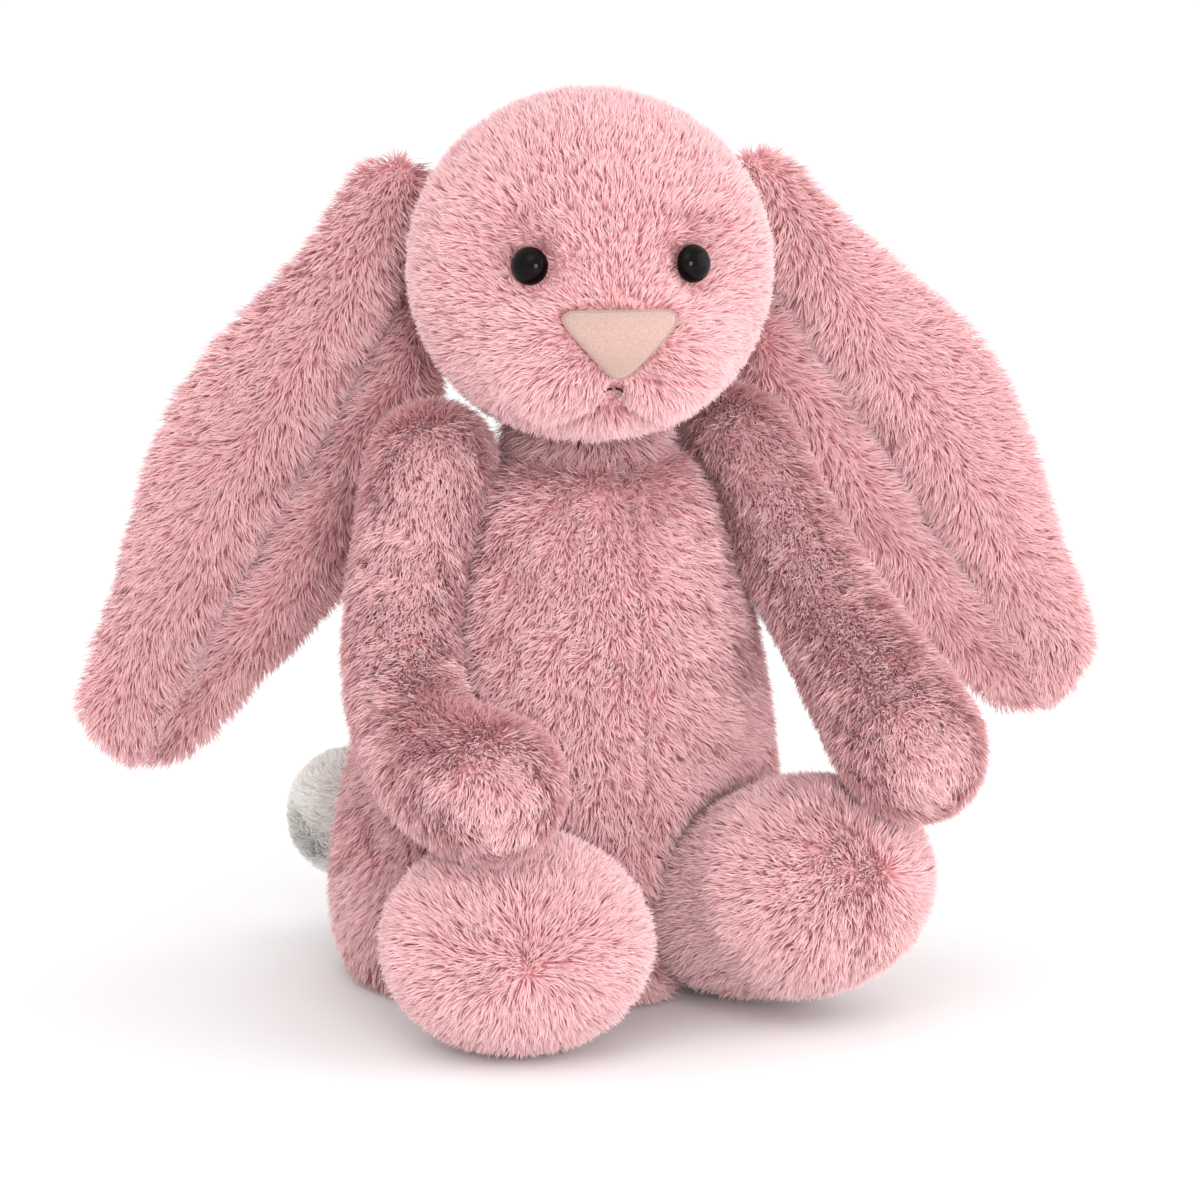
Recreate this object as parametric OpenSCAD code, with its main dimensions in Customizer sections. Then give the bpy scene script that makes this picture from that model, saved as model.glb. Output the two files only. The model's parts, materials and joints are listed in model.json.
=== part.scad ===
// Sitting plush rabbit with long drooping ears. Millimetres, +Z up, face toward -Y, its own left at +X.
// The origin is the middle of the flat seat. Covers are sewn panels of fleece with its pile pressed flat;
// every cover holds its own stuffing.

/* [Torso] */
// Height from the seat to the neck
torso_h = 133; // [120:1:150]
// Width of the belly
belly_w = 108; // [96:1:118]
// Depth of the belly, front to back
belly_d = 100; // [90:1:110]
// Height of the widest part of the belly
belly_z = 30; // [25:1:38]
// How far the neck leans forward of the seat
torso_lean = 14; // [6:1:18]
// How far the neck leans to its own left
torso_tilt = 4; // [0:1:6]
// Distance between the two shoulder seams
shoulder_w = 78; // [74:1:88]

/* [Head] */
// Width of the head
head_w = 84; // [74:1:94]
// Height of the head
head_h = 82; // [72:1:92]
// Depth of the head without the muzzle
head_d = 84; // [74:1:94]
// How far the muzzle stands out of the face
muzzle_out = 7; // [3:0.5:10]
// Turn of the head as it sits, positive to its own left
head_turn = -16; // [-22:1:10]
// Diameter of the glass-like eyes
eye_d = 9; // [6:0.5:11]
// Distance between the eyes
eye_gap = 37; // [32:1:46]
// Width of the nose patch
nose_w = 24; // [18:1:28]
// Height of the nose patch
nose_h = 16; // [12:1:20]

/* [Ears] */
// Length of an ear from its seam to its tip
ear_len = 171; // [140:1:195]
// Width of an ear at its widest
ear_w = 62; // [50:1:66]
// Thickness of an ear
ear_t = 14; // [11:0.5:17]
// Width of an ear at its seam
ear_root_w = 23; // [17:1:26]
// Spread of the right ear from straight down
ear_right_spread = 25; // [24:1:40]
// Spread of the left ear from straight down
ear_left_spread = 32; // [24:1:40]

/* [Arms] */
// Diameter of an arm at the shoulder
arm_root_d = 25; // [18:1:28]
// Diameter of an arm at the elbow
arm_d = 26; // [21:1:30]
// Diameter of a paw
paw_d = 33; // [28:1:37]
// Air between a resting paw and the foot below it
paw_rest_gap = 2; // [1.5:0.5:6]

/* [Legs] */
// Width of a foot
foot_w = 62; // [52:1:66]
// Height of a foot
foot_h = 50; // [44:1:54]
// Diameter of a leg at the hip seam
leg_root_d = 44; // [36:1:46]
// Distance from the hip seam to the middle of the foot
leg_len = 24; // [21:1:32]
// Splay of the right leg from straight ahead
leg_right_splay = 20; // [14:1:34]
// Splay of the left leg from straight ahead
leg_left_splay = 24; // [14:1:30]

/* [Tail] */
// Diameter of the tail
tail_d = 34; // [28:1:40]

/* [Fabric] */
// Thickness of the backing with its pile pressed flat
plush_t = 2.4; // [1.6:0.2:3]
// Opening left along a sewn seam
seam_gap = 0.5; // [0.3:0.1:0.8]
// Clearance between the stuffing and its cover
fill_gap = 0.3; // [0.2:0.05:0.5]
// Clearance between two parts that turn against each other
turn_gap = 1.6; // [1.2:0.1:2.4]

/* [Hidden] */

LEFT = 1;
RIGHT = -1;
plush_pink = [0.86, 0.60, 0.63];
stuffing_white = [0.95, 0.95, 0.93];

// Cover and stuffing depths below the outer surface
cover_in = plush_t;
fill_in = plush_t + fill_gap;

// Neck: a ball of stuffing between two openings, centred where the head turns and nods
neck_gap = 2;
neck_ball_r = 15;
neck_clear_r = neck_ball_r + turn_gap / 2;
hole_slack = 0.6;
neck_hole_r = neck_clear_r + hole_slack;
neck = [torso_tilt, -torso_lean, torso_h + neck_gap / 2];
head_rise = neck_gap / 2 + head_h / 2;
head_forward = 8;

degrees = 180 / PI;

// ---- vectors and curves -------------------------------------------------------------------------

function unit(v) = v / norm(v);
function mix(a, b, t) = a + (b - a) * t;
function bezier(p, t) = (1 - t) * (1 - t) * p[0] + 2 * t * (1 - t) * p[1] + t * t * p[2];
function bezier_run(p, t) = unit(2 * (1 - t) * (p[1] - p[0]) + 2 * t * (p[2] - p[1]));
// Length of vector v measured against the half axes h, 1 on the surface of that ellipsoid
function reach(v, h) = norm([v.x / h.x, v.y / h.y, v.z / h.z]);
// Moves p along the ray from c until it is outside the ball of centre b and radius r
function dent(p, c, b, r) =
    norm(p - b) >= r ? p :
    let (d = unit(p - c), m = (b - c) * d, q = m * m - (b - c) * (b - c) + r * r)
    c + d * max(m - sqrt(max(q, 0)), 0.5);
function dents(p, c, balls, more, i = 0) =
    i == len(balls) ? p : dents(dent(p, c, balls[i][0], balls[i][1] + more), c, balls, more, i + 1);

// ---- surfaces ----------------------------------------------------------------------------------

// Two triangles for each square of a grid with the given number of columns
function grid_faces(rows, cols, first, flip, closed) = [
    for (i = [0:rows - 2])
        for (j = [0:(closed ? cols - 1 : cols - 2)])
            let (k = (j + 1) % cols,
                 a = first + i * cols + j, b = first + i * cols + k,
                 c = first + (i + 1) * cols + k, d = first + (i + 1) * cols + j)
            each flip ? [[a, c, b], [a, d, c]] : [[a, b, c], [a, c, d]]
];
// A strip between two rows of points, given as lists of indices
function strip_faces(p, q, flip) = [
    for (j = [0:len(p) - 2])
        each flip ? [[p[j], q[j + 1], p[j + 1]], [p[j], q[j], q[j + 1]]]
                  : [[p[j], p[j + 1], q[j + 1]], [p[j], q[j + 1], q[j]]]
];

// A sewn panel: outer and inner grids of points joined by a rim all round
module panel(outer, inner) {
    rows = len(outer);
    cols = len(outer[0]);
    n = rows * cols;
    around = concat(
        [for (j = [0:cols - 1]) j],
        [for (i = [1:rows - 1]) i * cols + cols - 1],
        [for (j = [1:cols - 1]) n - 1 - j],
        [for (i = [1:rows - 1]) n - (i + 1) * cols]
    );
    polyhedron(
        points = concat([for (r = outer) each r], [for (r = inner) each r]),
        faces = concat(
            grid_faces(rows, cols, 0, true, false),
            grid_faces(rows, cols, n, false, false),
            strip_faces(around, [for (k = around) k + n], false)
        ),
        convexity = 6
    );
}

// A panel that closes on itself, such as a cap with a hole: rims at the first and the last row
module ring_panel(outer, inner) {
    rows = len(outer);
    cols = len(outer[0]);
    n = rows * cols;
    low = [for (j = [0:cols]) j % cols];
    high = [for (j = [0:cols]) (rows - 1) * cols + j % cols];
    polyhedron(
        points = concat([for (r = outer) each r], [for (r = inner) each r]),
        faces = concat(
            grid_faces(rows, cols, 0, false, true),
            grid_faces(rows, cols, n, true, true),
            strip_faces(low, [for (k = low) k + n], true),
            strip_faces(high, [for (k = high) k + n], false)
        ),
        convexity = 6
    );
}

// A closed solid: rings of points from one pole to the other
module bag(rings, start, end) {
    rows = len(rings);
    cols = len(rings[0]);
    n = rows * cols;
    polyhedron(
        points = concat([for (r = rings) each r], [start, end]),
        faces = concat(
            grid_faces(rows, cols, 0, true, true),
            [for (j = [0:cols - 1]) [n, j, (j + 1) % cols]],
            [for (j = [0:cols - 1]) [n + 1, n - cols + (j + 1) % cols, n - cols + j]]
        ),
        convexity = 6
    );
}

// ---- torso --------------------------------------------------------------------------------------

torso_top_curve = 1.3;
torso_top_round = 3;
torso_low_curve = 2.5;
torso_low_drop = 18;
torso_rows = 25;
torso_cols = 17;

// Share of the belly's size at height z
function girth(z) =
    z < belly_z
    ? pow(1 - pow((belly_z - z) / (belly_z + torso_low_drop), torso_low_curve), 1 / torso_low_curve)
    : pow(max(1 - pow((z - belly_z) / (torso_h - belly_z), torso_top_curve), 0), 1 / torso_top_round);
// Height at which the torso has narrowed to the radius r
function height_of(r) =
    belly_z + (torso_h - belly_z) * pow(1 - pow(2 * r / belly_w, torso_top_round), 1 / torso_top_curve);
function torso_axis(z) = [torso_tilt, -torso_lean, 0] * z / torso_h + [0, 0, z];
function torso_side(z, turn, inset) =
    let (w = belly_w / 2 * girth(z) - inset, d = belly_d / 2 * girth(z) - inset)
    torso_axis(z) + [w * cos(turn), d * sin(turn), 0];

hip_angle = 33;
hip_z = foot_h / 2 - 1;
function hip(side) = torso_side(hip_z, -90 + side * hip_angle, 0);
shoulder_drop = 4;
function shoulder(side) =
    torso_axis(torso_h - shoulder_drop) + [side * shoulder_w / 2, 0, 0];
// Half sizes of a foot: across, along and up
foot_half = [foot_w / 2, foot_w / 2 - 3, foot_h / 2];
// The torso gives way round each limb: balls along the limb, with room for it to swing
leg_swing_room = 1.6;
leg_dent_r = leg_root_d / 2 + turn_gap + leg_swing_room;
arm_room = 0.4;
arm_dent_r = arm_root_d / 2 + turn_gap + arm_room;
function limb_ball(limb, t, room) =
    [bezier(limb[0], t), limb_size(limb[1], limb[2], t)[0] + turn_gap + room];
torso_dents = [
    for (s = [LEFT, RIGHT]) each [
        [hip(s), leg_dent_r],
        for (t = [0.35, 0.7]) limb_ball(leg(s), t, leg_swing_room),
        [shoulder(s), arm_dent_r],
        for (t = [0.1:0.1:0.9]) limb_ball(arm(s), t, arm_room)
    ]
];

// A point of the torso: share 0 at the seat and 1 at the neck opening, and its depth below the surface
neck_rim_z = height_of(neck_hole_r);
function torso_point(share, turn, inset) =
    let (run = (1 - cos(180 * share)) / 2,
         z0 = mix(0, neck_rim_z, run),
         z = mix(inset, neck_rim_z - inset, run),
         side = torso_side(z0, turn, inset) - torso_axis(z0),
         flat = norm(side),
         level = z - neck.z,
         clear = sqrt(max(pow(neck_clear_r, 2) - level * level, 0)) + 0.3,
         p = torso_axis(z) + side * max(1, clear / flat))
    dents(p, torso_axis(z), torso_dents, inset);
function torso_grid(from_turn, to_turn, inset) = [
    for (i = [0:torso_rows - 1])
        [for (j = [0:torso_cols - 1])
            let (half = seam_gap / belly_w * degrees,
                 a = mix(from_turn + half, to_turn - half, j / (torso_cols - 1)))
            torso_point(i / (torso_rows - 1), a, inset)]
];

module torso_panel(from_turn) {
    color(plush_pink)
    panel(torso_grid(from_turn, from_turn + 90, 0), torso_grid(from_turn, from_turn + 90, cover_in));
}
module torso_front_left() { torso_panel(-90); }
module torso_front_right() { torso_panel(-180); }
module torso_back_left() { torso_panel(0); }
module torso_back_right() { torso_panel(90); }

// The base is cut to the inside of the seat's edge, where the leg sockets also take their bite
function flat_reach(p) = norm([p.x - torso_axis(p.z).x, p.y - torso_axis(p.z).y]);
function base_r(turn) =
    min(flat_reach(torso_point(0, turn, 0)), flat_reach(torso_point(0, turn, plush_t))) - seam_gap;
module torso_base() {
    color(plush_pink)
    linear_extrude(height = plush_t)
    polygon([for (j = [0:fill_cols - 1])
        let (turn = j * 360 / fill_cols, u = unit([belly_w * cos(turn), belly_d * sin(turn)]))
        u * base_r(turn)]);
}

// The bean pouch lies in the seat; the stuffing begins above it
pouch_h = 13;
pouch_room = 0.1;
hip_out = norm(hip(LEFT) - torso_axis(hip_z));
pouch_r = hip_out - leg_dent_r - pouch_room;
pouch_wall = 0.8;
pouch_z = fill_in;
stuffing_from = pouch_z + pouch_h + fill_gap;

// The stuffing shares the panels' rows and columns, so it lies evenly inside them
fill_cols = 4 * (torso_cols - 1);
function row_z(i) = torso_point(i / (torso_rows - 1), 0, fill_in).z;
first_row = [for (i = [0:torso_rows - 1]) if (row_z(i) > stuffing_from) i][0];
first_share = (stuffing_from - row_z(first_row - 1)) / (row_z(first_row) - row_z(first_row - 1));
socket_rows = 3;
fill_top_z = height_of(neck_hole_r) - fill_in;
socket_start = asin((neck.z - fill_top_z) / neck_clear_r);
module torso_stuffing() {
    rows = [
        for (i = [first_row - 1:torso_rows - 1])
            [for (j = [0:fill_cols - 1])
                torso_point(i / (torso_rows - 1), j * 360 / fill_cols, fill_in)]
    ];
    start = [for (j = [0:fill_cols - 1]) mix(rows[0][j], rows[1][j], first_share)];
    walls = concat([start], [for (i = [1:len(rows) - 1]) rows[i]]);
    socket = [
        for (k = [1:socket_rows])
            let (dip = mix(socket_start, 90, k / (socket_rows + 1)))
            [for (j = [0:fill_cols - 1])
                neck + neck_clear_r * [cos(dip) * cos(j * 360 / fill_cols),
                                       cos(dip) * sin(j * 360 / fill_cols), -sin(dip)]]
    ];
    color(stuffing_white)
    bag(concat(walls, socket), torso_axis(stuffing_from), neck - [0, 0, neck_clear_r]);
}

module pouch_form(r, h) {
    corner = h / 2 - 0.01;
    rotate_extrude($fn = 60)
    intersection() {
        offset(r = corner, $fn = 24)
        square([2 * (r - corner), h - 2 * corner], center = true);
        translate([0, -h])
        square([r * 2, h * 2]);
    }
}
module bean_pouch() {
    color("white")
    translate([0, 0, pouch_z + pouch_h / 2])
    difference() {
        pouch_form(pouch_r, pouch_h);
        pouch_form(pouch_r - pouch_wall, pouch_h - 2 * pouch_wall);
    }
}
pellet_d = 5;
pellet_step = pellet_d + 0.3;
module bean_pellets() {
    free_r = pouch_r - pouch_wall - pouch_h / 2 + 1;
    reach_n = ceil(free_r / pellet_step);
    color("ivory")
    for (layer = [0, 1])
        for (i = [-reach_n:reach_n])
            for (j = [-reach_n:reach_n])
                let (x = (i + (j % 2 == 0 ? 0 : 0.5)) * pellet_step, y = j * pellet_step * 0.87)
                if (norm([x, y]) < free_r)
                    translate([x, y, pouch_z + pouch_wall + 0.2 + pellet_d / 2 + layer * pellet_step])
                    sphere(d = pellet_d, $fn = 20);
}

// Ladder stitches that close the back seam after stuffing
stitch_d = 0.7;
stitch_w = 3;
closing_from = 58;
closing_step = 4.5;
closing_count = 9;
module back_closing_stitches() {
    color([0.80, 0.50, 0.55])
    for (k = [0:closing_count - 1])
        let (z = closing_from + k * closing_step, p = torso_side(z, 90, 0))
        translate(p + [-stitch_w / 2, 0.55, 0])
        rotate([0, 90, 0])
        cylinder(h = stitch_w, d = stitch_d, $fn = 20);
}
// Gathering thread round the neck opening of the torso
neck_thread_d = 0.8;
module neck_thread() {
    color([0.80, 0.50, 0.55])
    translate([neck.x, neck.y, neck_rim_z + neck_thread_d / 2 + 0.15])
    rotate_extrude($fn = 60)
    translate([neck_hole_r + 0.2, 0])
    circle(d = neck_thread_d, $fn = 16);
}
module neck_stuffing() {
    color(stuffing_white)
    translate(neck)
    sphere(r = neck_ball_r, $fn = 48);
}

// ---- head ---------------------------------------------------------------------------------------

// The head is drawn about its own centre and then turned and set on the neck
module on_neck() {
    translate(neck)
    rotate([0, 0, head_turn])
    translate([0, -head_forward, head_rise])
    children();
}
head_neck = [0, head_forward, -head_rise];
head_half = [head_w / 2, head_d / 2, head_h / 2];

muzzle_low = -14;
muzzle_spread = 27;
eye_turn = asin(eye_gap / (head_w - 4));
eye_lift = 6;
socket_spread = 11;
socket_depth = 2.5;
// Direction from an angle out of the side-to-side plane and an angle round the side-to-side axis
function aim(out, round) = [sin(out), -cos(out) * cos(round), cos(out) * sin(round)];
function apart(a, b) = acos(min(1, max(-1, a * b)));
function bump(angle, spread) = exp(-pow(angle / spread, 2));
function eye_aim(side) = [sin(side * eye_turn) * cos(eye_lift), -cos(eye_turn) * cos(eye_lift), sin(eye_lift)];
function head_radius(d) =
    1 / reach(d, head_half)
    + muzzle_out * bump(apart(d, aim(0, muzzle_low)), muzzle_spread)
    - socket_depth * (bump(apart(d, eye_aim(LEFT)), socket_spread)
                      + bump(apart(d, eye_aim(RIGHT)), socket_spread));

ear_root_out = 10.4;
function ear_root(side) =
    let (d = unit([side * 0.84, 0.44, 0.28]))
    d * (1 / reach(d, head_half) + ear_root_out);
ear_dent_r = ear_root_w / 2 + turn_gap;
head_dents = [[ear_root(LEFT), ear_dent_r], [ear_root(RIGHT), ear_dent_r]];
function head_point(d, inset) = dents(d * (head_radius(d) - inset), [0, 0, 0], head_dents, inset);

gusset_half = 14;
neck_cone = asin((neck_hole_r + 1.2) / (head_h / 2));
// Angle of the neck behind straight down, seen from the middle of the head
neck_back = atan2(head_forward, head_rise);
side_rows = 7;
side_cols = 28;
side_end = 86;
// Edge of a side panel: along the gusset, and round the neck opening below
function side_edge(round) =
    let (c = cos(round + 90 + neck_back))
    c > cos(neck_cone) ? max(gusset_half, acos(cos(neck_cone) / c)) : gusset_half;
function head_side_grid(side, inset) = [
    for (i = [0:side_rows - 1])
        [for (j = [0:side_cols - 1])
            let (round = side * j * 360 / side_cols - 90,
                 edge = side_edge(round) + 2 * seam_gap / head_w * degrees,
                 out = side * mix(edge, side_end, i / (side_rows - 1)))
            head_point(aim(out, round), inset)]
];
eye_stem_d = 2.6;
eye_hole_d = eye_stem_d + hole_slack;
// Length of the bores behind the eyes, half of it each side of the eye's seat
eye_bore = 24;
washer_d = 12;
washer_t = 1.4;
washer_fit = 0.2;
washer_room = 2;
// Depth of a washer behind the eye's seat, and the eye's height over it
washer_deep = 8;
eye_lift_off = 0.3;
eye_seat = head_radius(eye_aim(LEFT));
module at_eye(side) {
    rotate([0, 0, side * eye_turn])
    rotate([-eye_lift, 0, 0])
    rotate([90, 0, 0])
    children();
}
module head_side(side) {
    color(plush_pink)
    on_neck()
    difference() {
        ring_panel(head_side_grid(side, 0), head_side_grid(side, cover_in));
        at_eye(side)
        translate([0, 0, eye_seat - eye_bore / 2])
        cylinder(h = eye_bore, d = eye_hole_d, $fn = 24);
        at_eye(side)
        translate([0, 0, eye_seat])
        cylinder(h = eye_bore / 2, d = eye_d + hole_slack, $fn = 40);
    }
}
module head_side_left() { head_side(LEFT); }
module head_side_right() { head_side(RIGHT); }

gusset_cols = 4;
nose_top = -4;
nape_end = 270 - neck_back - neck_cone - 1;
chin_from = -90 - neck_back + neck_cone + 1;
chin_to = -28;
function band_grid(from, to, rows, inset) = [
    for (i = [0:rows - 1])
        [for (j = [0:gusset_cols - 1])
            head_point(aim(mix(-gusset_half, gusset_half, j / (gusset_cols - 1)),
                           mix(from, to, i / (rows - 1))), inset)]
];
module band(from, to, rows) {
    color(plush_pink)
    on_neck()
    panel(band_grid(from, to, rows, 0), band_grid(from, to, rows, cover_in));
}
module head_gusset() { band(chin_to + 1, nape_end, 22); }
module chin_gusset() { band(chin_from, chin_to, 6); }

head_fill_rows = 13;
// The head's filling has rows of its own, so it lies a little deeper than in the limbs
head_fill_in = fill_in + 0.5;
neck_fill_room = 0.8;
module head_stuffing() {
    rings = [
        for (i = [1:head_fill_rows])
            [for (j = [0:side_cols - 1])
                let (d = aim(mix(-90, 90, i / (head_fill_rows + 1)), -j * 360 / side_cols))
                dent(head_point(d, head_fill_in), [0, 0, 0], head_neck, neck_clear_r + neck_fill_room)]
    ];
    color(stuffing_white)
    on_neck()
    difference() {
        bag(rings, head_point([-1, 0, 0], head_fill_in), head_point([1, 0, 0], head_fill_in));
        for (side = [LEFT, RIGHT])
            at_eye(side)
            translate([0, 0, eye_seat - eye_bore / 2])
            cylinder(h = eye_bore, d = washer_d + washer_room, $fn = 32);
    }
}

// Eyes: a glossy dome turned in one piece with the stem that passes through the cover to a washer
eye_rise = 3.4;
eye_stem_h = 9;
eye_steps = 18;
module eye(side) {
    color([0.05, 0.04, 0.04])
    on_neck()
    at_eye(side)
    translate([0, 0, eye_seat + eye_lift_off])
    rotate_extrude($fn = 72)
    polygon(concat(
        [[0, -eye_stem_h], [eye_stem_d / 2, -eye_stem_h], [eye_stem_d / 2, 0]],
        [for (k = [0:eye_steps]) [eye_d / 2 * cos(90 * k / eye_steps), eye_rise * sin(90 * k / eye_steps)]]
    ));
}
module eye_left() { eye(LEFT); }
module eye_right() { eye(RIGHT); }
module eye_washer(side) {
    color("white")
    on_neck()
    at_eye(side)
    translate([0, 0, eye_seat - washer_deep])
    difference() {
        cylinder(h = washer_t, d = washer_d, $fn = 40);
        translate([0, 0, -1])
        cylinder(h = washer_t + 2, d = eye_stem_d + washer_fit, $fn = 24);
    }
}
module eye_washer_left() { eye_washer(LEFT); }
module eye_washer_right() { eye_washer(RIGHT); }

// Nose: a rounded triangle of suede laid on the muzzle, point down
nose_t = 0.8;
nose_rise = 0.5;
nose_rows = 7;
nose_cols = 9;
nose_r = head_radius(aim(0, -13));
nose_drop = asin(nose_h / nose_r);
nose_half_turn = asin(nose_w / 2 / nose_r);
// Half width of the nose at a share of its height, from its flat top to its rounded point
function nose_share(s) =
    let (corner = 0.16, point = 0.8)
    s < corner ? 1 - 0.10 * pow(1 - s / corner, 2)
    : s < point ? 1 - 0.72 * (s - corner) / (point - corner)
    : 0.28 * sqrt(max(1 - pow((s - point) / (1 - point), 2), 0.04));
function nose_point(s, across, rise) =
    let (d = aim(nose_half_turn * nose_share(s) * across, nose_top - nose_drop * s))
    d * (head_radius(d) + rise);
module nose_patch() {
    outer = [for (i = [0:nose_rows - 1]) [for (j = [0:nose_cols - 1])
        nose_point(i / (nose_rows - 1), 2 * j / (nose_cols - 1) - 1, nose_rise + nose_t)]];
    inner = [for (i = [0:nose_rows - 1]) [for (j = [0:nose_cols - 1])
        nose_point(i / (nose_rows - 1), 2 * j / (nose_cols - 1) - 1, nose_rise)]];
    color([0.94, 0.74, 0.68])
    on_neck()
    panel([for (r = outer) [for (k = [nose_cols - 1:-1:0]) r[k]]],
          [for (r = inner) [for (k = [nose_cols - 1:-1:0]) r[k]]]);
}

// A round thread along a list of points
module thread(points, d, sides) {
    last = len(points) - 1;
    rings = [
        for (i = [0:last])
            let (run = unit(points[min(i + 1, last)] - points[max(i - 1, 0)]),
                 up = unit(cross(run, abs(run.z) > 0.9 ? [1, 0, 0] : [0, 0, 1])),
                 side = cross(run, up))
            [for (k = [0:sides - 1])
                points[i] + d / 2 * (up * cos(k * 360 / sides) + side * sin(k * 360 / sides))]
    ];
    bag(rings, points[0], points[last]);
}
nose_thread_d = 0.6;
thread_sides = 6;
// Height of a thread above the cloth it is sewn to
thread_lift = 0.15;
nose_stitch_count = 22;
nose_thread_lift = 0.05;
// Share of the nose's edge that is stitched, and of each step that is thread
nose_stitched = 0.97;
stitch_share = 0.7;
function nose_edge(k) =
    let (s = k < 0 ? -k : k, side = k < 0 ? -1 : 1)
    nose_point(s, side * 1.03, nose_rise + nose_t + nose_thread_d / 2 + nose_thread_lift);
module nose_edge_stitching() {
    color([0.90, 0.66, 0.62])
    on_neck()
    for (i = [0:nose_stitch_count - 1])
        let (a = mix(-nose_stitched, nose_stitched, i / nose_stitch_count),
             b = mix(-nose_stitched, nose_stitched, (i + stitch_share) / nose_stitch_count))
        if (abs(a) > 0.03 && abs(b) > 0.03 && a * b > 0)
            thread([nose_edge(a), nose_edge((a + b) / 2), nose_edge(b)], nose_thread_d, thread_sides);
}
mouth_low = 6;
mouth_half = 2.2;
mouth_gap = 0.55;
mouth_sink = 1.5;
mouth_d = 0.7;
module mouth_stitch() {
    start = nose_top - nose_drop - mouth_sink;
    color([0.12, 0.07, 0.07])
    on_neck()
    for (side = [LEFT, RIGHT])
        thread([for (k = [0:4])
            let (d = aim(side * (mouth_gap + mouth_half * k / 4),
                         start - mouth_low - mouth_sink * pow(k / 4, 2)))
            d * (head_radius(d) + mouth_d / 2 + thread_lift)], mouth_d, thread_sides);
}

// ---- limbs: a padded tube along a bent spine, rounded about its first and last points --------------

// Half sizes along a limb: from the root through the middle to the end, each [across, thick]
function limb_size(sizes, middle, t) =
    t < middle ? mix(sizes[0], sizes[1], (1 - cos(180 * t / middle)) / 2)
               : mix(sizes[1], sizes[2], (1 - cos(180 * (t - middle) / (1 - middle))) / 2);
// A ring's place on the limb: share of the spine, size factor of a rounded end, and run past the end
function limb_station(share, cap) =
    share < cap ? let (a = 90 * (1 - share / cap)) [0, cos(a), -sin(a)]
    : share > 1 - cap ? let (a = 90 * (1 - (1 - share) / cap)) [1, cos(a), sin(a)]
    : [(share - cap) / (1 - 2 * cap), 1, 0];
function limb_point(limb, share, turn, inset) =
    let (spine = limb[0], sizes = limb[1], middle = limb[2], across = limb[3], cap = limb[4], floor_z = limb[5],
         st = limb_station(share, cap), t = st[0],
         run = bezier_run(spine, t),
         n = unit(cross(across, run)),
         b = cross(run, n),
         size = limb_size(sizes, middle, t),
         end = t == 0 ? size[0] : size[2],
         p = bezier(spine, t) + run * st[2] * (end - inset)
             + st[1] * (n * (size[0] - inset) * cos(turn) + b * (size[1] - inset) * sin(turn)))
    floor_z == undef ? p : [p.x, p.y, max(p.z, floor_z + inset)];
function limb_grid(limb, rows, cols, from, to, inset) = [
    for (i = [0:rows - 1])
        [for (j = [0:cols - 1])
            limb_point(limb, mix(0.02, 0.98, i / (rows - 1)), mix(from, to, j / (cols - 1)), inset)]
];
module limb_panel(limb, rows, cols, from) {
    slack = seam_gap / 2 / limb[1][1][0] * degrees + 0.6;
    color(plush_pink)
    panel(limb_grid(limb, rows, cols, from + slack, from + 180 - slack, 0),
          limb_grid(limb, rows, cols, from + slack, from + 180 - slack, cover_in));
}
// The stuffing shares the panels' rows and columns
module limb_stuffing(limb, rows, panel_cols) {
    cols = 2 * (panel_cols - 1);
    rings = [
        for (i = [0:rows - 1])
            [for (j = [0:cols - 1])
                limb_point(limb, mix(0.02, 0.98, i / (rows - 1)), j * 360 / cols, fill_in)]
    ];
    color(stuffing_white)
    bag(rings, limb_point(limb, 0, 0, fill_in), limb_point(limb, 1, 0, fill_in));
}

// Legs: from the hip forward and out, to a foot that is wider than the leg
function leg_splay(side) = side == LEFT ? leg_left_splay : leg_right_splay;
function leg_rise(side) = side == LEFT ? 18 : 3;
function leg_run(side) =
    [side * sin(leg_splay(side)) * cos(leg_rise(side)), -cos(leg_splay(side)) * cos(leg_rise(side)),
     sin(leg_rise(side))];
function foot(side) = hip(side) + leg_run(side) * leg_len;
function leg(side) = [
    [hip(side), (hip(side) + foot(side)) / 2, foot(side)],
    [[leg_root_d / 2, leg_root_d / 2, leg_root_d / 2],
     [leg_root_d / 2 + 2.5, leg_root_d / 2 + 1.5, leg_root_d / 2],
     [foot_half.x, foot_half.z, foot_half.y]],
    0.45, [0, 0, 1], 0.3, 0
];
module leg_left_upper() { limb_panel(leg(LEFT), 11, 9, 0); }
module leg_left_under() { limb_panel(leg(LEFT), 11, 9, 180); }
module leg_left_stuffing() { limb_stuffing(leg(LEFT), 11, 9); }
module leg_right_upper() { limb_panel(leg(RIGHT), 11, 9, 0); }
module leg_right_under() { limb_panel(leg(RIGHT), 11, 9, 180); }
module leg_right_stuffing() { limb_stuffing(leg(RIGHT), 11, 9); }

// Arms: from the shoulder down past a bent elbow to a paw that rests just over the foot
function paw_aim(side) = unit(side == LEFT ? [15.7, -22, 34.5] : [-11.8, -14, 40.1]);
function paw(side) =
    foot(side) + paw_aim(side) * (1 / reach(paw_aim(side), foot_half) + paw_d / 2 + paw_rest_gap);
function elbow(side) = mix(shoulder(side), paw(side), 0.5) + (side == LEFT ? [4, 9, -2] : [-18, 28, -37]);
function arm(side) = [
    [shoulder(side), elbow(side), paw(side)],
    [[arm_root_d / 2, arm_root_d / 2, arm_root_d / 2], [arm_d / 2, arm_d / 2, arm_d / 2],
     [paw_d / 2, paw_d / 2, paw_d / 2]],
    0.5, [1, 0, 0], 0.2, undef
];
module arm_left_outer() { limb_panel(arm(LEFT), 13, 8, 0); }
module arm_left_inner() { limb_panel(arm(LEFT), 13, 8, 180); }
module arm_left_stuffing() { limb_stuffing(arm(LEFT), 13, 8); }
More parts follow.
